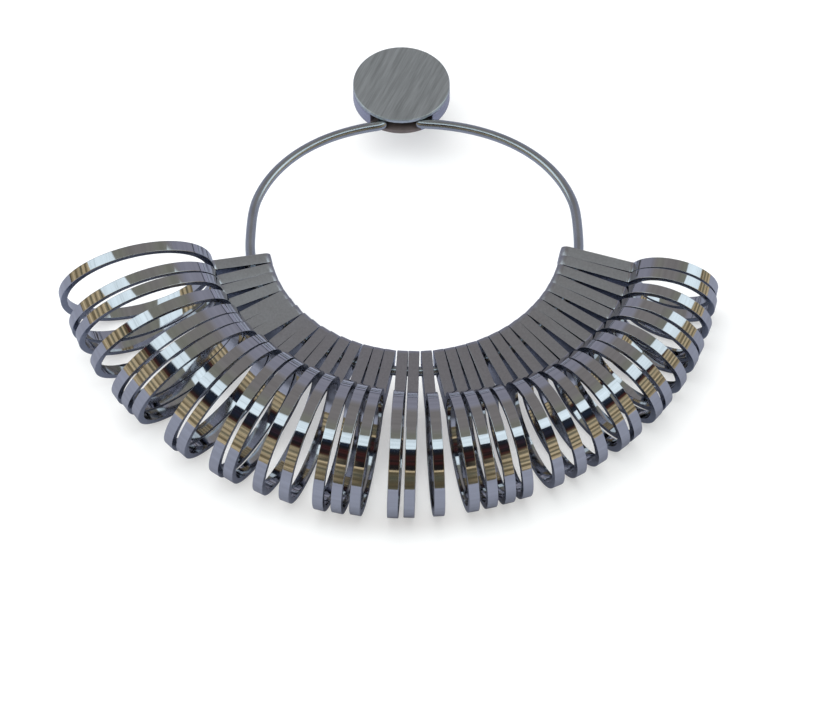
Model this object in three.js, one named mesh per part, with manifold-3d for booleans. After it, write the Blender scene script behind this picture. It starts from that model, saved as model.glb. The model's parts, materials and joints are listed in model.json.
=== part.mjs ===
// A finger ring sizer: thirty-six ring gauges threaded on a sprung wire carrier, whose two ends
// are pinned inside a round screw clasp. Millimetres, +Z up, standing on the rims of its gauges.
import * as THREE from 'three';
import { mergeVertices } from 'three/addons/utils/BufferGeometryUtils.js';
import Module from 'manifold-3d';

const wasm = await Module();
wasm.setup();

// ---- Driving dimensions -------------------------------------------------------------------

// A gauge's size number is the inner circumference of its ring in millimetres.
const LARGEST_SIZE = 76;
const SMALLEST_SIZE = 41;

// Every gauge is stamped from one thickness of strip: a ring with a flat tab.
const GAUGE_THICKNESS = 1.85;
const BAND_WALL = 1.15;
const TAB_HALF_HEIGHT = 2.4;
const TAB_CORNER_RADIUS = 1.3;
const TAB_BEHIND_HOLE = 3.2; // from the hole's centre to the tab's inner end
const TAB_TO_LARGE_RING = 7.0; // from the hole's centre to the ring, on the largest gauge
const TAB_TO_SMALL_RING = 8.8; // and on the smallest
const TAB_FILLET = 0.8; // where the tab runs into the ring
const WIRE_HOLE_RADIUS = 1.3; // loose on the wire, so that a gauge can lean over

// The carrier is a circle in front, with slightly wide shoulders and a flat crown behind.
const WIRE_RADIUS = 0.825;
const CARRIER_RADIUS = 27.65;
const SHOULDER_BULGE = 0.8;
const SHOULDER_START = 0.35; // the sine of the angle by which the bulge is fully there

// The gauges stand in a fan round the front of the carrier, in bunches whose inner ends touch.
// Each bunch has a number of gauges, leans over with its top towards the front, and spreads a
// little from one gauge to the next; both angles are in degrees. The plates point away from a
// fan centre that lies a little behind the carrier's own centre.
const FAN_CENTRE_BEHIND = 2.1;
const FAN_START = THREE.MathUtils.degToRad(193.6);
const FAN_END = THREE.MathUtils.degToRad(346.8);
const FRONT = THREE.MathUtils.degToRad(270);
const BUNCHES = [
  { count: 1, lean: 16, spread: 0 },
  { count: 2, lean: 18, spread: 1.5 },
  { count: 1, lean: 19, spread: 0 },
  { count: 3, lean: 17.5, spread: 1.2 },
  { count: 2, lean: 14, spread: 1.2 },
  { count: 2, lean: 10, spread: 1.4 },
  { count: 1, lean: 8, spread: 0 },
  { count: 1, lean: 6, spread: 0 },
  { count: 3, lean: 3, spread: 2.2 },
  { count: 2, lean: 1, spread: 1.6 },
  { count: 1, lean: 0, spread: 0 },
  { count: 4, lean: 2, spread: 2.4 },
  { count: 1, lean: 4, spread: 0 },
  { count: 1, lean: 5.5, spread: 0 },
  { count: 1, lean: 7, spread: 0 },
  { count: 2, lean: 9, spread: 2.2 },
  { count: 2, lean: 11, spread: 2.2 },
  { count: 1, lean: 12, spread: 0 },
  { count: 2, lean: 13, spread: 2 },
  { count: 1, lean: 13.5, spread: 0 },
  { count: 2, lean: 14, spread: 2 },
];
const GAP_IN_BUNCH = 0.04;
const CARRIER_HEIGHT = 10.6; // the carrier lies level, this far above the ground

// The clasp: a round cup with a mouth for the two wire ends, closed by a screwed lid.
const CLASP_CENTRE = new THREE.Vector2(-2.2, 34.3);
const CLASP_RADIUS = 8.2;
const CLASP_WALL = 0.9;
const CUP_BOTTOM = -1.65;
const CUP_FLOOR = -0.95;
const CUP_RIM = 0.9;
const LID_GAP = 0.04;
const LID_TOP = 1.75;
const MOUTH_HALF_ANGLE = THREE.MathUtils.degToRad(40);
const BOSS_RADIUS = 2.1;
const STUD_RADIUS = 1.2;
const STUD_CLEARANCE = 0.05;
const STUD_BOTTOM = -0.9;
const PIN_RADIUS = 0.55;
const PIN_CLEARANCE = 0.06;
const PIN_TOP = 0.75;
const PIN_SPACING = 6.2;
const PIN_SETBACK = 3.6; // in front of the clasp's centre
const EYE_RADIUS = 1.45;
const EYE_HALF_THICKNESS = 0.5;
const WIRE_BEND = 4.6; // where the carrier leaves its curve, sideways from the clasp's centre

// How finely the round shapes are cut.
const RING_STEPS = 28;
const HOLE_STEPS = 12;
const CORNER_STEPS = 2;
const WIRE_SIDES = 10;
const WIRE_STEPS = 110;
const CLASP_STEPS = 48;
const PIN_STEPS = 16;

// ---- Helpers ------------------------------------------------------------------------------

// A round stretch of outline, both ends included.
function arcPoints(x, y, radius, from, to, steps) {
  const points = [];
  for (let i = 0; i <= steps; i += 1) {
    const angle = from + ((to - from) * i) / steps;
    points.push(new THREE.Vector2(x + radius * Math.cos(angle), y + radius * Math.sin(angle)));
  }
  return points;
}

function circlePoints(x, y, radius, steps) {
  return arcPoints(x, y, radius, 0, 2 * Math.PI, steps).slice(0, -1);
}

function plate(outline, holes, bottom, top) {
  const shape = new THREE.Shape(outline);
  shape.holes = holes.map((points) => new THREE.Path(points));
  const geometry = new THREE.ExtrudeGeometry(shape, { depth: top - bottom, bevelEnabled: false });
  return geometry.translate(0, 0, bottom);
}

function toSolid(geometry) {
  const bare = geometry.clone();
  bare.deleteAttribute('normal');
  bare.deleteAttribute('uv');
  const merged = mergeVertices(bare, 1e-4);
  const mesh = new wasm.Mesh({
    numProp: 3,
    vertProperties: merged.attributes.position.array,
    triVerts: new Uint32Array(merged.index.array),
  });
  return new wasm.Manifold(mesh);
}

function toGeometry(solid) {
  const mesh = solid.getMesh();
  const geometry = new THREE.BufferGeometry();
  geometry.setAttribute('position', new THREE.BufferAttribute(mesh.vertProperties, 3));
  geometry.setIndex(new THREE.BufferAttribute(mesh.triVerts, 1));
  geometry.computeVertexNormals();
  return geometry;
}

function named(name, geometry, material) {
  const mesh = new THREE.Mesh(geometry, material);
  mesh.name = name;
  return mesh;
}

function metal(colour, roughness) {
  return new THREE.MeshStandardMaterial({ color: colour, roughness, metalness: 1 });
}

// ---- Gauges -------------------------------------------------------------------------------

function gaugeSizes(size) {
  const share = (LARGEST_SIZE - size) / (LARGEST_SIZE - SMALLEST_SIZE);
  const inner = size / (2 * Math.PI);
  const outer = inner + BAND_WALL;
  const tab = THREE.MathUtils.lerp(TAB_TO_LARGE_RING, TAB_TO_SMALL_RING, share ** 2);
  return { inner, outer, ringCentre: tab + outer };
}

// The plate lies in its own XY plane, with the wire hole at its origin and the ring along +X.
function gaugeGeometry(size) {
  const { inner, outer, ringCentre } = gaugeSizes(size);
  const filletHeight = TAB_HALF_HEIGHT + TAB_FILLET;
  const filletReach = Math.sqrt((outer + TAB_FILLET) ** 2 - filletHeight ** 2);
  const filletX = ringCentre - filletReach;
  const join = Math.atan2(filletHeight, filletReach); // the ring's angle where the fillet ends
  const cornerX = TAB_CORNER_RADIUS - TAB_BEHIND_HOLE;
  const cornerY = TAB_HALF_HEIGHT - TAB_CORNER_RADIUS;
  const upper = [
    ...arcPoints(ringCentre, 0, outer, 0, Math.PI - join, RING_STEPS / 2),
    ...arcPoints(filletX, filletHeight, TAB_FILLET, -join, -Math.PI / 2, CORNER_STEPS).slice(1),
    ...arcPoints(cornerX, cornerY, TAB_CORNER_RADIUS, Math.PI / 2, Math.PI, CORNER_STEPS),
  ];
  const lower = upper.slice(1).reverse();
  const mirrored = lower.map((point) => new THREE.Vector2(point.x, -point.y));
  return plate(
    [...upper, ...mirrored],
    [
      circlePoints(ringCentre, 0, inner, RING_STEPS),
      circlePoints(0, 0, WIRE_HOLE_RADIUS, HOLE_STEPS),
    ],
    -GAUGE_THICKNESS / 2,
    GAUGE_THICKNESS / 2,
  );
}

// How far out along a plate the wire's centre line lies, for a plate that points in the given
// direction and stands the given distance to the side of the fan's centre.
function holeReach(direction, offset) {
  const along = FAN_CENTRE_BEHIND * Math.sin(direction);
  const aside = FAN_CENTRE_BEHIND * Math.cos(direction) + offset;
  return Math.sqrt(CARRIER_RADIUS ** 2 - aside ** 2) - along;
}

// The directions of the bunches, spread so that neighbours just clear each other at their
// inner ends and share what is left of the fan equally.
function bunchDirections(bunches) {
  const steps = bunches.slice(1).map((bunch, i) => {
    const before = bunches[i];
    const about = THREE.MathUtils.lerp(FAN_START, FAN_END, (i + 1) / bunches.length);
    const innerEnd = holeReach(about, 0) - TAB_BEHIND_HOLE;
    const twist = Math.abs(Math.sin(bunch.lean) - Math.sin(before.lean)) * TAB_HALF_HEIGHT;
    return ((before.width + bunch.width) / 2 + twist) / innerEnd;
  });
  const spare = (FAN_END - FAN_START - steps.reduce((sum, step) => sum + step, 0)) / steps.length;
  const directions = [FAN_START];
  steps.forEach((step) => directions.push(directions[directions.length - 1] + step + spare));
  return directions;
}

// Where each gauge stands, from the first to the last: its plate's direction out from the
// carrier, how far it stands to the side of the fan's centre, and how far it leans. A gauge
// turns about the inner end of its tab as its bunch spreads.
function fanPlaces() {
  const bunches = BUNCHES.map(({ count, lean, spread }) => {
    const radians = THREE.MathUtils.degToRad(lean);
    const pitch = (GAUGE_THICKNESS + GAP_IN_BUNCH) / Math.cos(radians);
    const width = count * pitch;
    return { count, lean: radians, spread: THREE.MathUtils.degToRad(spread), pitch, width };
  });
  return bunchDirections(bunches).flatMap((direction, i) => {
    const { count, lean, spread, pitch } = bunches[i];
    const towardsFront = direction < FRONT ? lean : -lean;
    const innerEnd = holeReach(direction, 0) - TAB_BEHIND_HOLE;
    const fromMiddle = Array.from({ length: count }, (_, k) => k - (count - 1) / 2);
    return fromMiddle.map((step) => {
      const turn = step * spread;
      const offset = step * pitch * Math.cos(turn) - innerEnd * Math.sin(turn);
      return { direction: direction + turn, offset, lean: towardsFront };
    });
  });
}

// A gauge hangs on the wire by its hole, swung until its rim touches the ground.
function gaugeMesh(size, place, material) {
  const { outer, ringCentre } = gaugeSizes(size);
  const upright = Math.cos(place.lean);
  const rimDepth = outer * upright + (GAUGE_THICKNESS / 2) * Math.abs(Math.sin(place.lean));
  const swing = Math.asin((rimDepth - CARRIER_HEIGHT) / (ringCentre * upright));

  const plateGroup = new THREE.Group();
  plateGroup.rotation.set(Math.PI / 2 - place.lean, 0, swing);
  const mesh = named(`gauge_${size}`, gaugeGeometry(size), material);
  plateGroup.add(mesh);
  plateGroup.position.set(holeReach(place.direction, place.offset), place.offset, 0);
  const turned = new THREE.Group();
  turned.rotation.z = place.direction;
  turned.position.y = FAN_CENTRE_BEHIND;
  turned.add(plateGroup);
  return turned;
}

// ---- Carrier ------------------------------------------------------------------------------

function carrierPoint(angle) {
  const shoulder = THREE.MathUtils.smoothstep(Math.sin(angle), 0, SHOULDER_START);
  const radius = CARRIER_RADIUS + SHOULDER_BULGE * Math.sin(3 * angle) * shoulder;
  return new THREE.Vector3(radius * Math.cos(angle), radius * Math.sin(angle), 0);
}

class CarrierCurve extends THREE.Curve {
  constructor(from, to) {
    super();
    this.from = from;
    this.to = to;
  }

  getPoint(t, target = new THREE.Vector3()) {
    return target.copy(carrierPoint(this.from + (this.to - this.from) * t));
  }
}

// The wire's run from its eye out through the mouth, and on to the carrier's curve.
function wireEnd(side) {
  const x = CLASP_CENTRE.x + (side * PIN_SPACING) / 2;
  const eye = new THREE.Vector3(x, CLASP_CENTRE.y - PIN_SETBACK, 0);
  const inside = new THREE.Vector3(x, CLASP_CENTRE.y - CLASP_RADIUS + CLASP_WALL, 0);
  const bendX = CLASP_CENTRE.x + side * WIRE_BEND;
  const angle = Math.acos(bendX / CARRIER_RADIUS);
  const outside = carrierPoint(angle);
  const ahead = carrierPoint(angle + side * 1e-3).sub(outside);
  const corner = outside.clone().addScaledVector(ahead, (x - outside.x) / ahead.x);
  return { eye, inside, corner, outside, angle };
}

function carrierWire(material) {
  const left = wireEnd(-1);
  const right = wireEnd(1);
  const path = new THREE.CurvePath();
  path.add(new THREE.LineCurve3(left.eye, left.inside));
  path.add(new THREE.QuadraticBezierCurve3(left.inside, left.corner, left.outside));
  path.add(new CarrierCurve(left.angle, right.angle + 2 * Math.PI));
  path.add(new THREE.QuadraticBezierCurve3(right.outside, right.corner, right.inside));
  path.add(new THREE.LineCurve3(right.inside, right.eye));
  const section = new THREE.Shape(circlePoints(0, 0, WIRE_RADIUS, WIRE_SIDES));
  const tube = new THREE.ExtrudeGeometry(section, { steps: WIRE_STEPS, extrudePath: path });
  const holeRadius = PIN_RADIUS + PIN_CLEARANCE;
  let wire = toSolid(tube);
  for (const end of [left, right]) {
    const rim = circlePoints(0, 0, EYE_RADIUS, PIN_STEPS);
    const hole = circlePoints(0, 0, holeRadius, PIN_STEPS);
    const eye = plate(rim, [], -EYE_HALF_THICKNESS, EYE_HALF_THICKNESS);
    const bore = plate(hole, [], -WIRE_RADIUS * 2, WIRE_RADIUS * 2);
    wire = wire.add(toSolid(eye.translate(end.eye.x, end.eye.y, 0)));
    wire = wire.subtract(toSolid(bore.translate(end.eye.x, end.eye.y, 0)));
  }
  return named('carrier_wire', toGeometry(wire), material);
}

// ---- Clasp --------------------------------------------------------------------------------

function pinPlaces() {
  return [-1, 1].map((side) => new THREE.Vector2((side * PIN_SPACING) / 2, -PIN_SETBACK));
}

function claspCup(material) {
  const holeRadius = PIN_RADIUS + PIN_CLEARANCE;
  const pinHoles = pinPlaces().map((at) => circlePoints(at.x, at.y, holeRadius, PIN_STEPS));
  const floor = plate(circlePoints(0, 0, CLASP_RADIUS, CLASP_STEPS), pinHoles, CUP_BOTTOM, CUP_FLOOR);
  const inner = CLASP_RADIUS - CLASP_WALL;
  const front = -Math.PI / 2;
  const wallEnds = [front + MOUTH_HALF_ANGLE, front + 2 * Math.PI - MOUTH_HALF_ANGLE];
  const wall = plate(
    [
      ...arcPoints(0, 0, CLASP_RADIUS, wallEnds[0], wallEnds[1], CLASP_STEPS),
      ...arcPoints(0, 0, inner, wallEnds[1], wallEnds[0], CLASP_STEPS),
    ],
    [],
    CUP_FLOOR - LID_GAP,
    CUP_RIM,
  );
  const boss = plate(
    circlePoints(0, 0, BOSS_RADIUS, PIN_STEPS),
    [circlePoints(0, 0, STUD_RADIUS + STUD_CLEARANCE, PIN_STEPS)],
    CUP_FLOOR - LID_GAP,
    CUP_RIM - LID_GAP,
  );
  const cup = toSolid(floor).add(toSolid(wall)).add(toSolid(boss));
  return named('clasp_cup', toGeometry(cup), material);
}

function claspLid(material) {
  const lid = plate(circlePoints(0, 0, CLASP_RADIUS, CLASP_STEPS), [], CUP_RIM + LID_GAP, LID_TOP);
  return named('clasp_lid', lid, material);
}

function claspStud(material) {
  const stud = plate(circlePoints(0, 0, STUD_RADIUS, PIN_STEPS), [], STUD_BOTTOM, CUP_RIM);
  return named('clasp_stud', stud, material);
}

function claspPins(material) {
  return pinPlaces().map((at, i) => {
    const pin = plate(circlePoints(at.x, at.y, PIN_RADIUS, PIN_STEPS), [], CUP_BOTTOM, PIN_TOP);
    return named(['pin_left', 'pin_right'][i], pin, material);
  });
}

// ---- The whole sizer ----------------------------------------------------------------------

const polished = metal(0x8d9099, 0.12);
const satin = metal(0x7d7f80, 0.35);
const brushed = metal(0x7c8584, 0.4);

const clasp = new THREE.Group();
clasp.position.set(CLASP_CENTRE.x, CLASP_CENTRE.y, 0);
clasp.add(claspCup(brushed), claspLid(brushed), claspStud(satin), ...claspPins(satin));

const carrier = new THREE.Group();
carrier.position.z = CARRIER_HEIGHT;
carrier.add(carrierWire(polished), clasp);
fanPlaces().forEach((place, i) => {
  carrier.add(gaugeMesh(LARGEST_SIZE - i, place, polished));
});

// The origin is on the ground, in the middle of the footprint.
const ringSizer = new THREE.Group();
ringSizer.add(carrier);
ringSizer.updateMatrixWorld(true);
const extent = new THREE.Box3().setFromObject(ringSizer, true);
const middle = extent.getCenter(new THREE.Vector3());
ringSizer.position.set(-middle.x, -middle.y, -extent.min.z);

export default ringSizer;
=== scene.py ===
import json
import math
import bmesh
import bpy
from mathutils import Matrix, Vector


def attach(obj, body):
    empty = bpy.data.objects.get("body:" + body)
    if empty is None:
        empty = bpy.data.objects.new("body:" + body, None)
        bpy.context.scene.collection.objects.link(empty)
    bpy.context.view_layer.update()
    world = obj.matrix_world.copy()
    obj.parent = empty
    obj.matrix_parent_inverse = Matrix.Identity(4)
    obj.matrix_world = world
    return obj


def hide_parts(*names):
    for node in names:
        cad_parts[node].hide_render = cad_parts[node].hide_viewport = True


# %% [markdown]
# # A finger ring sizer
# A jeweller slips these numbered ring gauges on a finger until one fits. Thirty-six gauges hang
# on a sprung wire, and a round screw clasp holds the two ends of the wire. Almost everything is
# bright plated steel, so the look depends on three things: clean curved bands, small bevels
# that catch the light, and a studio that gives the metal something to reflect.

# %% Load the fixed frame
MM = 0.001
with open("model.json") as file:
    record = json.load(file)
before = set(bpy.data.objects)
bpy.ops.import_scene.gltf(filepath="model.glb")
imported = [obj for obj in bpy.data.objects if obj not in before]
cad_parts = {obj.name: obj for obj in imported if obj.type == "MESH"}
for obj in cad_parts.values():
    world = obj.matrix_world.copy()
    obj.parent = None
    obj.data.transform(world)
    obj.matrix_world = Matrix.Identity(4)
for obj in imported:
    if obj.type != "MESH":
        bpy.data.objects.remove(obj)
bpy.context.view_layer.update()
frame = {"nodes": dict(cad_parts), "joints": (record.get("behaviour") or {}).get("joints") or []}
joints = {joint["name"]: joint for joint in frame["joints"]}

# %% [markdown]
# ## Camera
# The camera comes first, because every later choice of detail is judged through it. It could
# stand close with a short lens, but the real view has almost no perspective, so a long lens
# far away is used. The sizer lies in the upper part of the view, so the camera looks at a
# point a little in front of it instead of using a lens shift.

# %% Camera from the front and above
WIRE_RADIUS = 0.825 * MM
CARRIER_RADIUS = 27.65 * MM
CLASP_OFFSET = Vector((-2.2, 34.3, 0.0)) * MM  # from the carrier's centre to the clasp's
VIEW_ELEVATION = math.radians(50.3)
VIEW_DISTANCE = 3.0
VIEW_WIDTH = 139.06 * MM  # what the frame spans at the carrier
VIEW_BELOW = 18.17 * MM  # the carrier's centre lies this far above the middle of the view
VIEW_ASIDE = -0.24 * MM

clasp_centre = Vector(joints["lid_turn"]["pos_m"])
carrier_centre = clasp_centre - CLASP_OFFSET


def add_camera():
    data = bpy.data.cameras.new("camera")
    camera = bpy.data.objects.new("camera", data)
    bpy.context.scene.collection.objects.link(camera)
    back = Vector((0, -math.cos(VIEW_ELEVATION), math.sin(VIEW_ELEVATION)))
    up = Vector((0, math.sin(VIEW_ELEVATION), math.cos(VIEW_ELEVATION)))
    aim = carrier_centre + Vector((VIEW_ASIDE, 0, 0)) - up * VIEW_BELOW
    camera.location = aim + back * VIEW_DISTANCE
    camera.rotation_euler = (math.pi / 2 - VIEW_ELEVATION, 0, 0)
    data.lens = data.sensor_width * VIEW_DISTANCE / VIEW_WIDTH
    data.clip_end = 100
    bpy.context.scene.camera = camera
    return camera


camera = add_camera()
place = [round(c, 3) for c in camera.location]
print("camera at", place, "with a lens of", round(camera.data.lens), "mm")

# %% [markdown]
# ## Node helpers
# Every finish is a small tree of shader nodes. A few helpers keep the trees short to read:
# one adds a node with its settings, one joins two sockets, and one makes a colour ramp.

# %% Helpers for node trees


def add_node(tree, kind, **settings):
    node = tree.nodes.new(kind)
    for name, value in settings.items():
        setattr(node, name, value)
    return node


def set_inputs(node, **values):
    for name, value in values.items():
        node.inputs[name.replace("_", " ")].default_value = value
    return node


def join(tree, start, end):
    tree.links.new(start, end)


def ramp(tree, stops, factor, interpolation="LINEAR"):
    node = add_node(tree, "ShaderNodeValToRGB")
    elements = node.color_ramp.elements
    node.color_ramp.interpolation = interpolation
    while len(elements) < len(stops):
        elements.new(1.0)
    for element, (position, colour) in zip(elements, stops):
        element.position = position
        element.color = (*colour, 1.0)
    join(tree, factor, node.inputs["Fac"])
    return node.outputs["Color"]


def maths(tree, operation, first, second):
    node = add_node(tree, "ShaderNodeMath", operation=operation)
    for socket, value in zip(node.inputs, (first, second)):
        if isinstance(value, (int, float)):
            socket.default_value = value
        else:
            join(tree, value, socket)
    return node.outputs[0]


def mix_colour(tree, factor, first, second, blend="MIX"):
    node = add_node(tree, "ShaderNodeMix", data_type="RGBA", blend_type=blend)
    sockets = (node.inputs[0], node.inputs[6], node.inputs[7])
    for socket, value in zip(sockets, (factor, first, second)):
        if isinstance(value, (int, float)):
            socket.default_value = value
        elif isinstance(value, tuple):
            socket.default_value = (*value, 1.0)
        else:
            join(tree, value, socket)
    return node.outputs[2]


print("node helpers are ready")

# %% [markdown]
# ## The studio
# Bright plating shows its surroundings, so the room matters as much as the metal. Real
# lights and cards could stand round the sizer, but a painted world is simpler and gives the
# same reflections: an arc of white light overhead, a warm grey ceiling behind it, and a dim
# room with brown and golden things in it from the horizon up.

# %% Colours of the room
WHITE_LIGHT = (1.22, 1.42, 1.50)
CEILING = (0.295, 0.28, 0.275)
OLIVE = (0.29, 0.295, 0.25)
WALL = (0.35, 0.355, 0.43)
NAVY = (0.020, 0.030, 0.052)
MAROON = (0.085, 0.027, 0.025)
BLACK = (0.022, 0.020, 0.020)
BROWN = (0.16, 0.13, 0.075)
DIM_OLIVE = (0.15, 0.15, 0.105)
GOLD = (0.82, 0.67, 0.42)
TEAL = (0.05, 0.065, 0.075)
TABLE = (0.40, 0.41, 0.52)

# The arc of light is part of a ring about an axis that tips back from straight up.
LIGHT_AXIS = (0.0, 0.447, 0.894)
ARC_OUTER = 0.56
ARC_INNER = 0.775
EDGE = 0.012
SIDE_REACH = 0.2  # how much wider the arc is at its two ends

# What stands in the room, by height: straight ahead it is dim, and to the sides it is golden.
AHEAD = [
    (-0.46, TEAL), (-0.40, DIM_OLIVE), (-0.10, BROWN), (0.10, DIM_OLIVE), (0.30, BROWN),
    (0.32, GOLD), (0.345, GOLD), (0.36, BLACK), (0.48, BLACK), (0.54, MAROON), (0.62, BLACK),
    (0.70, MAROON), (0.78, BLACK), (0.84, NAVY), (0.95, NAVY),
]
ASIDE = [
    (-0.46, TEAL), (-0.40, DIM_OLIVE), (-0.26, BROWN), (-0.14, GOLD), (-0.04, BROWN), (0.04, GOLD),
    (0.11, DIM_OLIVE), (0.18, GOLD), (0.25, BROWN), (0.33, GOLD), (0.41, DIM_OLIVE), (0.47, GOLD),
    (0.52, BROWN), (0.56, MAROON), (0.60, BLACK), (0.70, NAVY),
]
BEHIND = [
    (-0.50, TABLE), (-0.02, TABLE), (-0.012, TEAL), (0.01, TEAL), (0.02, WALL), (0.54, WALL),
    (0.70, CEILING),
]
LOWEST = -0.5
HIGHEST = 1.0


def by_height(tree, stops, height):
    span = HIGHEST - LOWEST
    scaled = [((at - LOWEST) / span, colour) for at, colour in stops]
    share = maths(tree, "DIVIDE", maths(tree, "SUBTRACT", height, LOWEST), span)
    return ramp(tree, scaled, share)


def mask(tree, value, start, end):
    """0 below start, 1 above end, or the other way round if start is the higher."""
    node = add_node(tree, "ShaderNodeMapRange")
    set_inputs(node, From_Min=start, From_Max=end)
    join(tree, value, node.inputs["Value"])
    return node.outputs["Result"]


def level_lines(tree, direction, scale):
    """Long level streaks, as of shelves and edges seen across the room."""
    stretched = add_node(tree, "ShaderNodeMapping")
    stretched.inputs["Scale"].default_value = (1.0, 1.0, scale)
    join(tree, direction, stretched.inputs[0])
    lines = add_node(tree, "ShaderNodeTexNoise")
    set_inputs(lines, Scale=1.7, Detail=3.0, Roughness=0.65)
    join(tree, stretched.outputs[0], lines.inputs["Vector"])
    return lines.outputs["Fac"]


def build_world():
    world = bpy.data.worlds.new("room")
    world.use_nodes = True
    tree = world.node_tree
    tree.nodes.clear()
    direction = add_node(tree, "ShaderNodeTexCoord").outputs["Generated"]
    parts = add_node(tree, "ShaderNodeSeparateXYZ")
    join(tree, direction, parts.inputs[0])
    height = parts.outputs["Z"]
    towards_back = parts.outputs["Y"]
    to_side = maths(tree, "ABSOLUTE", parts.outputs["X"], 0.0)

    # The dim room, its outlines broken up by the streaks.
    broad = level_lines(tree, direction, 14.0)
    fine = level_lines(tree, direction, 60.0)
    shift = maths(tree, "MULTIPLY", maths(tree, "SUBTRACT", broad, 0.5), 0.16)
    level = maths(tree, "ADD", height, shift)
    aside = mask(tree, to_side, 0.22, 0.50)
    things = mix_colour(tree, aside, by_height(tree, AHEAD, level), by_height(tree, ASIDE, level))
    shades = [(0.36, (0.5, 0.5, 0.5)), (0.5, (0.95, 0.95, 0.95)), (0.64, (1.35, 1.35, 1.35))]
    shading = ramp(tree, shades, fine)
    room = mix_colour(tree, 1.0, things, shading, "MULTIPLY")

    # The ceiling above the arc of light, and the wall below it at the back.
    dot = add_node(tree, "ShaderNodeVectorMath", operation="DOT_PRODUCT")
    dot.inputs[1].default_value = LIGHT_AXIS
    join(tree, direction, dot.inputs[0])
    near_axis = dot.outputs["Value"]
    above = ramp(tree, [(ARC_INNER, OLIVE), (0.86, OLIVE), (0.95, CEILING)], near_axis)
    behind = by_height(tree, BEHIND, height)
    is_behind = mask(tree, towards_back, 0.32, 0.40)
    ceiling = mix_colour(tree, is_behind, above, behind)
    widening = maths(tree, "MULTIPLY", mask(tree, to_side, 0.45, 0.9), SIDE_REACH)
    reach = maths(tree, "ADD", near_axis, widening)
    rising = mask(tree, reach, ARC_OUTER - EDGE, ARC_OUTER)
    under_ceiling = maths(tree, "MAXIMUM", rising, is_behind)
    upper = mix_colour(tree, under_ceiling, room, ceiling)

    # The arc itself, cut off at the back.
    falling = mask(tree, near_axis, ARC_INNER + EDGE, ARC_INNER)
    in_front = mask(tree, towards_back, 0.38, 0.32)
    arc = maths(tree, "MULTIPLY", maths(tree, "MULTIPLY", rising, falling), in_front)
    glow = mix_colour(tree, 1.0, WHITE_LIGHT, ramp(
        tree, [(0.40, (0.80, 0.80, 0.80)), (0.46, (1, 1, 1))], fine), "MULTIPLY")
    upper = mix_colour(tree, arc, upper, glow)

    # Low down lies the table.
    seen = mix_colour(tree, mask(tree, height, -0.44, -0.46), upper, TABLE)
    background = add_node(tree, "ShaderNodeBackground")
    join(tree, seen, background.inputs["Color"])

    # A viewer sees only a plain pale backdrop.
    backdrop = add_node(tree, "ShaderNodeBackground")
    set_inputs(backdrop, Color=(0.94, 0.94, 0.945, 1.0), Strength=1.0)
    rays = add_node(tree, "ShaderNodeLightPath")
    shown = add_node(tree, "ShaderNodeMixShader")
    join(tree, rays.outputs["Is Camera Ray"], shown.inputs[0])
    join(tree, background.outputs[0], shown.inputs[1])
    join(tree, backdrop.outputs[0], shown.inputs[2])
    output = add_node(tree, "ShaderNodeOutputWorld")
    join(tree, shown.outputs[0], output.inputs["Surface"])
    bpy.context.scene.world = world


build_world()
bpy.context.scene.view_settings.view_transform = "Standard"
print("the room is painted")

# %% [markdown]
# ## Floor and lamp
# The sizer stands on a plain pale floor. A pale floor would turn the lower half of every
# band white, where the real ones show a darker table, so the metal sees a second sheet in
# the same place that is mid grey. The floor glows faintly, which keeps the shadows under the
# rings light without a second lamp.

# %% Floor, table sheet and lamp
FLOOR_HALF = (3.0, 3.0)
TABLE_HALF = (0.115, 0.095)
FLOOR_HEIGHT = -0.00006
TABLE_HEIGHT = -0.00002
FLOOR_GLOW = 0.42
MATT = 0.9
LAMP_SIZE = 1.8
LAMP_POWER = 26
LAMP_PLACE = (-0.3, -0.2, 1.3)


def flat_sheet(name, half, height, colour, roughness, glow=0.0):
    mesh = bpy.data.meshes.new(name)
    bm = bmesh.new()
    bmesh.ops.create_grid(bm, x_segments=1, y_segments=1, size=1.0)
    bmesh.ops.scale(bm, verts=bm.verts, vec=(*half, 1.0))
    bmesh.ops.translate(bm, verts=bm.verts, vec=(0, 0, height))
    bm.to_mesh(mesh)
    bm.free()
    sheet = bpy.data.objects.new(name, mesh)
    bpy.context.scene.collection.objects.link(sheet)
    material = bpy.data.materials.new(name)
    material.use_nodes = True
    shader = material.node_tree.nodes["Principled BSDF"]
    set_inputs(shader, Base_Color=(*colour, 1.0), Roughness=roughness)
    shader.inputs["Specular IOR Level"].default_value = 0.0
    set_inputs(shader, Emission_Color=(1.0, 1.0, 1.0, 1.0), Emission_Strength=glow)
    mesh.materials.append(material)
    return sheet


floor = flat_sheet("floor", FLOOR_HALF, FLOOR_HEIGHT, (0.60, 0.60, 0.60), MATT, glow=FLOOR_GLOW)
floor.visible_glossy = False
table = flat_sheet("table_sheet", TABLE_HALF, TABLE_HEIGHT, (0.33, 0.345, 0.42), MATT)
table.visible_camera = False
table.visible_diffuse = False
table.visible_shadow = False


def add_lamp(name, place, size, power):
    data = bpy.data.lights.new(name, "AREA")
    data.size = size
    data.energy = power
    lamp = bpy.data.objects.new(name, data)
    lamp.location = place
    lamp.rotation_euler = (-Vector(place)).to_track_quat("-Z", "Y").to_euler()
    lamp.visible_glossy = False
    bpy.context.scene.collection.objects.link(lamp)
    return lamp


add_lamp("key", LAMP_PLACE, LAMP_SIZE, LAMP_POWER)
print("floor and lamp are in place")

# %% [markdown]
# ## Plated metal
# The plating is one bright metal seen in several states: mirror bands, satin edges on the tabs, and flat
# faces whose darker blue-grey colour is painted shade for the shadow under the fanned gauges. Each is a
# metallic shader whose roughness and bump come from noise.
# On a gauge the noise is laid out flat on the plate, so on the band it becomes fine lines
# straight across, which is the mark that drawing and polishing leaves.

# %% Finishes for the gauges
PLATING = (0.57, 0.575, 0.60)


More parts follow.
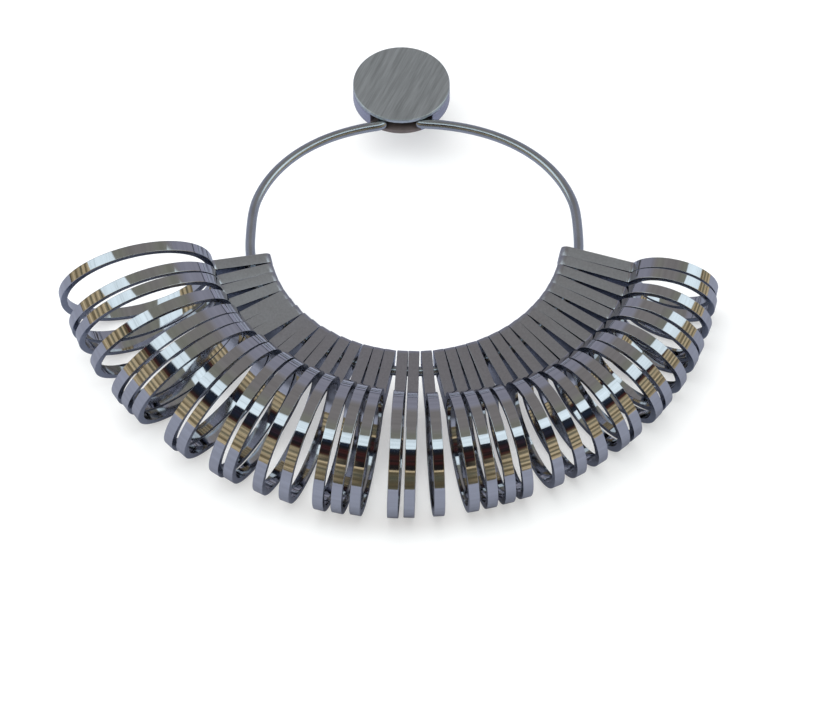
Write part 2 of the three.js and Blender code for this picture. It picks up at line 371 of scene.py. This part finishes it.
def plated(name, colour, roughness, spread, lines, line_depth, coordinates="UV"):
    material = bpy.data.materials.new(name)
    material.use_nodes = True
    tree = material.node_tree
    shader = tree.nodes["Principled BSDF"]
    set_inputs(shader, Metallic=1.0)
    where = add_node(tree, "ShaderNodeTexCoord").outputs[coordinates]
    placed = add_node(tree, "ShaderNodeMapping")
    placed.inputs["Scale"].default_value = lines
    join(tree, where, placed.inputs[0])
    grain = add_node(tree, "ShaderNodeTexNoise")
    set_inputs(grain, Scale=1.0, Detail=4.0, Roughness=0.55)
    join(tree, placed.outputs[0], grain.inputs["Vector"])
    cloud = add_node(tree, "ShaderNodeTexNoise")
    set_inputs(cloud, Scale=260.0, Detail=2.0)
    join(tree, add_node(tree, "ShaderNodeTexCoord").outputs["Object"], cloud.inputs["Vector"])
    dull = tuple(c * 0.86 for c in colour)
    tone = ramp(tree, [(0.35, dull), (0.65, colour)], grain.outputs["Fac"])
    join(tree, tone, shader.inputs["Base Color"])
    rough = add_node(tree, "ShaderNodeMapRange")
    set_inputs(rough, To_Min=roughness - spread, To_Max=roughness + spread)
    join(tree, cloud.outputs["Fac"], rough.inputs["Value"])
    join(tree, rough.outputs["Result"], shader.inputs["Roughness"])
    bump = add_node(tree, "ShaderNodeBump")
    set_inputs(bump, Strength=1.0, Distance=line_depth)
    join(tree, grain.outputs["Fac"], bump.inputs["Height"])
    join(tree, bump.outputs["Normal"], shader.inputs["Normal"])
    return material


mirror_band = plated("mirror_band", PLATING, 0.06, 0.03, (900, 900, 900), 0.000002)
satin_tab = plated("satin_tab", (0.475, 0.47, 0.495), 0.36, 0.06, (2600, 2600, 2600), 0.000003, "Object")
# The flat faces get a darker blue-grey base colour. This is painted shade for the shadow that falls on them
# under the fanned gauges, laid on the same plated metal.
flat_painted_shade = plated("flat_painted_shade", (0.33, 0.36, 0.43), 0.20, 0.05, (1500, 4200, 1500), 0.000005)
print("gauge finishes:", mirror_band.name, satin_tab.name, flat_painted_shade.name)

# %% [markdown]
# ## One gauge
# A gauge is a ring with a flat tab, cut from one thickness of plate. It could be drawn as one
# outline, but a spun ring joined to a bevelled tab follows the real shapes more closely. The
# ring is a rectangle spun round, the tab is a block with its inner corners rounded, and the
# wire's hole is drilled through. The joint between tab and ring is then eased, and every
# edge gets a small bevel, because a sharp edge would never show a highlight.

# %% Helpers for meshes
RING_STEPS = 96


def new_piece(name, bm, materials):
    mesh = bpy.data.meshes.new(name)
    bm.to_mesh(mesh)
    bm.free()
    for material in materials:
        mesh.materials.append(material)
    piece = bpy.data.objects.new(name, mesh)
    bpy.context.scene.collection.objects.link(piece)
    return piece


def spun(profile, steps, angle=2 * math.pi, axis_at=(0, 0, 0)):
    """Spins a closed outline of (radius, height) points about an upright axis."""
    bm = bmesh.new()
    corners = [bm.verts.new((radius, 0, height)) for radius, height in profile]
    for i, corner in enumerate(corners):
        bm.edges.new((corner, corners[(i + 1) % len(corners)]))
    whole = abs(angle - 2 * math.pi) < 1e-6
    bmesh.ops.spin(
        bm, geom=bm.verts[:] + bm.edges[:], cent=(0, 0, 0), axis=(0, 0, 1), dvec=(0, 0, 0),
        angle=angle, steps=steps, use_merge=whole, use_duplicate=False,
    )
    bmesh.ops.remove_doubles(bm, verts=bm.verts, dist=1e-7)
    if not whole:
        bmesh.ops.holes_fill(bm, edges=[e for e in bm.edges if e.is_boundary], sides=0)
    bmesh.ops.recalc_face_normals(bm, faces=bm.faces)
    bmesh.ops.translate(bm, verts=bm.verts, vec=axis_at)
    return bm


def disc(radius, bottom, top, steps, centre=(0, 0)):
    """A plain round plate."""
    bm = bmesh.new()
    bmesh.ops.create_cone(
        bm, cap_ends=True, segments=steps, radius1=radius, radius2=radius, depth=top - bottom,
    )
    bmesh.ops.translate(bm, verts=bm.verts, vec=(centre[0], centre[1], (top + bottom) / 2))
    return bm


def combine(piece, tool_mesh, operation):
    """Joins or cuts piece with another bmesh, which is used up."""
    tool = new_piece("tool", tool_mesh, [])
    cut = piece.modifiers.new("cut", "BOOLEAN")
    cut.operation = operation
    cut.solver = "EXACT"
    cut.object = tool
    settle(piece)
    bpy.data.objects.remove(tool)


def settle(piece):
    """Makes the piece's modifiers part of its mesh."""
    graph = bpy.context.evaluated_depsgraph_get()
    made = bpy.data.meshes.new_from_object(piece.evaluated_get(graph))
    old = piece.data
    piece.modifiers.clear()
    piece.data = made
    made.name = piece.name
    bpy.data.meshes.remove(old)


def soften(piece, width, segments=2, angle=32):
    """Bevels every sharp edge and shades the curved faces smooth."""
    mesh = piece.data
    for polygon in mesh.polygons:
        polygon.use_smooth = True
    ease = piece.modifiers.new("ease", "BEVEL")
    ease.width = width
    ease.segments = segments
    ease.limit_method = "ANGLE"
    ease.angle_limit = math.radians(angle)
    ease.harden_normals = False
    ease.use_clamp_overlap = True
    settle(piece)
    weighted = piece.modifiers.new("weighted", "WEIGHTED_NORMAL")
    weighted.keep_sharp = True
    settle(piece)


print("mesh helpers are ready")

# %% Gauge builder
BAND_WALL = 1.15 * MM
TAB_HALF_HEIGHT = 2.4 * MM
TAB_BEHIND_HOLE = 3.2 * MM
TAB_CORNER = 1.3 * MM
TAB_FILLET = 0.55 * MM
HOLE_RADIUS = 1.3 * MM
EDGE_BEVEL = 0.11 * MM


def gauge_frame(size):
    """Where a gauge lies: its hole, its three directions, its reach and its thickness."""
    joint = joints[f"swing_{size}"]
    hole = Vector(joint["pos_m"])
    across = Vector(joint["axis"]).normalized()
    points = [v.co - hole for v in frame["nodes"][f"gauge_{size}"].data.vertices]
    tip = max(points, key=lambda p: p.length)
    tip = tip - across * tip.dot(across)
    along = tip.normalized()
    depths = [p.dot(across) for p in points]
    return hole, along, across.cross(along), across, tip.length, max(depths) - min(depths)


def tab_block(start, end, thickness):
    bm = bmesh.new()
    bmesh.ops.create_cube(bm, size=1.0)
    bmesh.ops.scale(bm, verts=bm.verts, vec=(end - start, 2 * TAB_HALF_HEIGHT, thickness))
    bmesh.ops.translate(bm, verts=bm.verts, vec=((start + end) / 2, 0, 0))
    corners = [
        e for e in bm.edges
        if all(v.co.x < start + 1e-6 for v in e.verts)
        and abs(e.verts[0].co.z - e.verts[1].co.z) > 1e-6
    ]
    bmesh.ops.bevel(
        bm, geom=corners, offset=TAB_CORNER, segments=8, profile=0.5, affect="EDGES", material=-1,
    )
    return bm


def ease_joint(piece, ring_centre, outer):
    """Rounds the two inside corners where the tab runs into the ring."""
    bm = bmesh.new()
    bm.from_mesh(piece.data)
    corners = []
    for e in bm.edges:
        a, b = e.verts[0].co, e.verts[1].co
        upright = abs(a.x - b.x) < 1e-6 and abs(a.y - b.y) < 1e-6 and abs(a.z - b.z) > 1e-5
        at_side = abs(abs(a.y) - TAB_HALF_HEIGHT) < 2e-5
        on_ring = abs(math.hypot(a.x - ring_centre, a.y) - outer) < 3e-5 and a.x < ring_centre
        if upright and at_side and on_ring:
            corners.append(e)
    bmesh.ops.bevel(
        bm, geom=corners, offset=TAB_FILLET, segments=5, profile=0.5, affect="EDGES", material=-1,
        clamp_overlap=False,
    )
    bm.to_mesh(piece.data)
    bm.free()
    return len(corners)


def dress_gauge(piece, ring_centre, outer):
    """Gives each face its finish, with painted shade on the flat faces, and lays the plate out flat for the
    grain.
    """
    bm = bmesh.new()
    bm.from_mesh(piece.data)
    layout = bm.loops.layers.uv.new("plate")
    for face in bm.faces:
        middle = face.calc_center_median()
        from_centre = math.hypot(middle.x - ring_centre, middle.y)
        # Flat faces take the finish with the painted shade.
        if abs(face.normal.z) > 0.6:
            face.material_index = 2
        elif from_centre > outer + 0.25 * MM:
            face.material_index = 1
        else:
            face.material_index = 0
        for loop in face.loops:
            loop[layout].uv = (loop.vert.co.x, loop.vert.co.y)
    bm.to_mesh(piece.data)
    bm.free()


def build_gauge(size):
    hole, along, up, across, reach, thickness = gauge_frame(size)
    inner = size / (2 * math.pi) * MM
    outer = inner + BAND_WALL
    ring_centre = reach - outer
    half = thickness / 2
    profile = [(inner, -half), (outer, -half), (outer, half), (inner, half)]
    piece = new_piece(
        f"ring_gauge_{size}", spun(profile, RING_STEPS, axis_at=(ring_centre, 0, 0)),
        [mirror_band, satin_tab, flat_painted_shade],
    )
    tab_end = ring_centre - outer + BAND_WALL * 0.62
    combine(piece, tab_block(-TAB_BEHIND_HOLE, tab_end, thickness), "UNION")
    eased = ease_joint(piece, ring_centre, outer)
    combine(piece, disc(HOLE_RADIUS, -thickness, thickness, 32), "DIFFERENCE")
    soften(piece, EDGE_BEVEL)
    dress_gauge(piece, ring_centre, outer)
    place = Matrix((along, up, across)).transposed().to_4x4()
    place.translation = hole
    piece.data.transform(place)
    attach(piece, f"gauge_{size}")
    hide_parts(f"gauge_{size}")
    return piece, eased


gauge_nodes = [name for name in frame["nodes"] if name.startswith("gauge_")]
gauge_sizes = sorted((int(name.split("_")[1]) for name in gauge_nodes), reverse=True)
gauges = []
for size in gauge_sizes:
    piece, eased = build_gauge(size)
    gauges.append(piece)
    if eased != 2:
        print("gauge", size, "eased corners:", eased)
print("gauges:", len(gauges), "with", sum(len(g.data.polygons) for g in gauges), "faces")

# %% [markdown]
# ## Carrier wire
# The carrier is one length of spring wire bent nearly to a circle. Its ends turn back through
# the clasp's mouth and are flattened into eyes. A curve with a round section follows the
# bend exactly, so the wire is drawn as a curve and then made a mesh.

# %% Wire path and eyes
SHOULDER_BULGE = 0.8 * MM
SHOULDER_START = 0.35
CLASP_RADIUS = 8.2 * MM
CLASP_WALL = 0.9 * MM
PIN_SPACING = 6.2 * MM
PIN_SETBACK = 3.6 * MM
WIRE_BEND = 4.6 * MM
EYE_RADIUS = 1.45 * MM
EYE_HALF_THICKNESS = 0.5 * MM
PIN_RADIUS = 0.55 * MM
PIN_CLEARANCE = 0.06 * MM


def carrier_point(angle):
    share = min(max(math.sin(angle) / SHOULDER_START, 0), 1)
    shoulder = share * share * (3 - 2 * share)
    radius = CARRIER_RADIUS + SHOULDER_BULGE * math.sin(3 * angle) * shoulder
    return Vector((radius * math.cos(angle), radius * math.sin(angle), 0))


def wire_end(side):
    x = CLASP_OFFSET.x + side * PIN_SPACING / 2
    eye = Vector((x, CLASP_OFFSET.y - PIN_SETBACK, 0))
    inside = Vector((x, CLASP_OFFSET.y - CLASP_RADIUS + CLASP_WALL, 0))
    angle = math.acos((CLASP_OFFSET.x + side * WIRE_BEND) / CARRIER_RADIUS)
    outside = carrier_point(angle)
    ahead = carrier_point(angle + side * 1e-3) - outside
    corner = outside + ahead * ((x - outside.x) / ahead.x)
    bend = [
        inside * (1 - t) ** 2 + corner * 2 * t * (1 - t) + outside * t * t
        for t in (i / 12 for i in range(12))
    ]
    return [eye, eye.lerp(inside, 0.5), *bend], angle, eye


def build_wire():
    left, left_angle, left_eye = wire_end(-1)
    right, right_angle, right_eye = wire_end(1)
    steps = 200
    turn = right_angle + 2 * math.pi - left_angle
    loop = [carrier_point(left_angle + turn * i / steps) for i in range(steps + 1)]
    route = left + loop + right[::-1]
    data = bpy.data.curves.new("wire_path", "CURVE")
    data.dimensions = "3D"
    data.bevel_depth = WIRE_RADIUS
    data.bevel_resolution = 6
    data.use_fill_caps = True
    spline = data.splines.new("POLY")
    spline.points.add(len(route) - 1)
    for point, at in zip(spline.points, route):
        point.co = (*(at + carrier_centre), 1)
    path = bpy.data.objects.new("wire_path", data)
    bpy.context.scene.collection.objects.link(path)
    graph = bpy.context.evaluated_depsgraph_get()
    mesh = bpy.data.meshes.new_from_object(path.evaluated_get(graph))
    bpy.data.objects.remove(path)
    bm = bmesh.new()
    bm.from_mesh(mesh)
    bmesh.ops.remove_doubles(bm, verts=bm.verts, dist=1e-7)
    bmesh.ops.recalc_face_normals(bm, faces=bm.faces)
    wire = new_piece("sprung_wire", bm, [wire_finish])
    z = carrier_centre.z
    for eye in (left_eye, right_eye):
        at = eye + carrier_centre
        flat = disc(EYE_RADIUS, z - EYE_HALF_THICKNESS, z + EYE_HALF_THICKNESS, 40, at)
        combine(wire, flat, "UNION")
        combine(wire, disc(PIN_RADIUS + PIN_CLEARANCE, z - 2 * MM, z + 2 * MM, 32, at), "DIFFERENCE")
    for polygon in wire.data.polygons:
        polygon.use_smooth = True
    wire.data.set_sharp_from_angle(angle=math.radians(35))
    return wire


wire_finish = plated(
    "drawn_wire", (0.51, 0.54, 0.57), 0.24, 0.05, (300, 300, 2600), 0.000003, "Object"
)
wire = build_wire()
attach(wire, "carrier")
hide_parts("carrier_wire")
print("wire:", len(wire.data.polygons), "faces")

# %% [markdown]
# ## Clasp
# The clasp is a shallow turned cup with a mouth cut in its wall for the two wire ends, and a
# lid that screws down on a stud in the middle. Turned parts are profiles spun round an axis.
# The cup's wall is spun only part of the way, which leaves the mouth open. Its inside and the lip under the
# mouth are given a dull dark brown, which is painted shade for the recess under the lid.

# %% Clasp finishes
BRUSHED_ANGLE = math.radians(67)
# A lower metallic value darkens the cup's inside and mouth further, as part of the painted shade.
MOUTH_SHADE_METALLIC = 0.35


def brushed(name, dark, light, roughness):
    material = bpy.data.materials.new(name)
    material.use_nodes = True
    tree = material.node_tree
    shader = tree.nodes["Principled BSDF"]
    set_inputs(shader, Metallic=1.0, Roughness=roughness)
    where = add_node(tree, "ShaderNodeTexCoord").outputs["Object"]
    turned = add_node(tree, "ShaderNodeMapping", vector_type="TEXTURE")
    turned.inputs["Rotation"].default_value = (0, 0, BRUSHED_ANGLE)
    turned.inputs["Location"].default_value = clasp_centre
    join(tree, where, turned.inputs[0])
    heights = []
    for across, lengthwise, detail in ((1300, 90, 4.0), (4200, 260, 3.0)):
        stretched = add_node(tree, "ShaderNodeMapping")
        stretched.inputs["Scale"].default_value = (lengthwise, across, across)
        join(tree, turned.outputs[0], stretched.inputs[0])
        grain = add_node(tree, "ShaderNodeTexNoise")
        set_inputs(grain, Scale=1.0, Detail=detail, Roughness=0.6)
        join(tree, stretched.outputs[0], grain.inputs["Vector"])
        heights.append(grain.outputs["Fac"])
    coarse = maths(tree, "MULTIPLY", heights[0], 0.6)
    grain = maths(tree, "ADD", coarse, maths(tree, "MULTIPLY", heights[1], 0.4))
    join(tree, ramp(tree, [(0.36, dark), (0.62, light)], grain), shader.inputs["Base Color"])
    bump = add_node(tree, "ShaderNodeBump")
    set_inputs(bump, Strength=1.0, Distance=0.000005)
    join(tree, grain, bump.inputs["Height"])
    join(tree, bump.outputs["Normal"], shader.inputs["Normal"])
    return material


brushed_lid = brushed("brushed_lid", (0.48, 0.525, 0.53), (0.72, 0.78, 0.79), 0.34)
turned_cup = plated("turned_cup", (0.52, 0.53, 0.62), 0.22, 0.05, (260, 260, 3200), 0.000004, "Object")
# Dark brown, less metallic finish: painted shade for the cup's inside and mouth under the lid.
mouth_painted_shade = plated("mouth_painted_shade", (0.20, 0.165, 0.16), 0.50, 0.06, (900, 900, 900), 0.000006, "Object")
mouth_painted_shade.node_tree.nodes["Principled BSDF"].inputs["Metallic"].default_value = MOUTH_SHADE_METALLIC
plain_steel = plated("plain_steel", (0.50, 0.50, 0.51), 0.30, 0.06, (900, 900, 900), 0.000004, "Object")
print("clasp finishes are ready")

# %% Clasp pieces
CUP_BOTTOM = -1.65 * MM
CUP_FLOOR = -0.95 * MM
CUP_RIM = 0.9 * MM
LID_BOTTOM = 0.94 * MM
LID_TOP = 1.75 * MM
MOUTH_HALF_ANGLE = math.radians(40)
BOSS_RADIUS = 2.1 * MM
STUD_RADIUS = 1.2 * MM
STUD_CLEARANCE = 0.05 * MM
STUD_BOTTOM = -0.9 * MM
PIN_TOP = 0.75 * MM
CLASP_STEPS = 120
MOUTH_SHADE_SHARE = 0.6  # how much of the mouth's width gets the painted shade
SINK = 0.04 * MM  # how far joined parts run into each other
TURNED_BEVEL = 0.14 * MM


def place_on_clasp(piece, body, node):
    piece.data.transform(Matrix.Translation(clasp_centre))
    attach(piece, body)
    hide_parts(node)
    print(piece.name, len(piece.data.polygons), "faces")


def pin_places():
    return [(side * PIN_SPACING / 2, -PIN_SETBACK) for side in (-1, 1)]


def build_cup():
    cup = new_piece("turned_cup", disc(CLASP_RADIUS, CUP_BOTTOM, CUP_FLOOR, CLASP_STEPS), [turned_cup])
    inner = CLASP_RADIUS - CLASP_WALL
    low = CUP_FLOOR - SINK
    wall = spun([(inner, low), (CLASP_RADIUS, low), (CLASP_RADIUS, CUP_RIM), (inner, CUP_RIM)],
                round(CLASP_STEPS * 280 / 360), 2 * math.pi - 2 * MOUTH_HALF_ANGLE)
    front = -math.pi / 2 + MOUTH_HALF_ANGLE
    bmesh.ops.rotate(wall, verts=wall.verts, cent=(0, 0, 0), matrix=Matrix.Rotation(front, 3, "Z"))
    combine(cup, wall, "UNION")
    combine(cup, disc(BOSS_RADIUS, low, CUP_RIM - SINK, 48), "UNION")
    combine(cup, disc(STUD_RADIUS + STUD_CLEARANCE, CUP_FLOOR, CUP_RIM + MM, 48), "DIFFERENCE")
    for at in pin_places():
        combine(cup, disc(PIN_RADIUS + PIN_CLEARANCE, CUP_BOTTOM - MM, CUP_FLOOR + MM, 32, at), "DIFFERENCE")
    soften(cup, TURNED_BEVEL / 2)
    # The inside of the cup and the middle of the mouth get the painted shade.
    cup.data.materials.append(mouth_painted_shade)
    for polygon in cup.data.polygons:
        x, y, z = polygon.center
        in_mouth_shade = abs(math.atan2(x, -y)) < MOUTH_HALF_ANGLE * MOUTH_SHADE_SHARE
        polygon.material_index = int(math.hypot(x, y) < inner + SINK and z > CUP_FLOOR - SINK or in_mouth_shade)
    return cup


def build_turned(name, radius, bottom, top, bevel, material, centre=(0, 0), steps=48):
    piece = new_piece(name, disc(radius, bottom, top, steps, centre), [material])
    soften(piece, bevel, segments=3)
    return piece


place_on_clasp(build_cup(), "carrier", "clasp_cup")
lid = build_turned(
    "brushed_lid", CLASP_RADIUS, LID_BOTTOM, LID_TOP, TURNED_BEVEL, brushed_lid, steps=CLASP_STEPS
)
place_on_clasp(lid, "lid", "clasp_lid")
stud = build_turned("lid_stud", STUD_RADIUS, STUD_BOTTOM, CUP_RIM, 0.08 * MM, plain_steel)
place_on_clasp(stud, "screw", "clasp_stud")
for side, at in zip(("left", "right"), pin_places()):
    pin = build_turned(f"riveted_pin_{side}", PIN_RADIUS, CUP_BOTTOM, PIN_TOP, 0.07 * MM, plain_steel, at)
    place_on_clasp(pin, "carrier", f"pin_{side}")
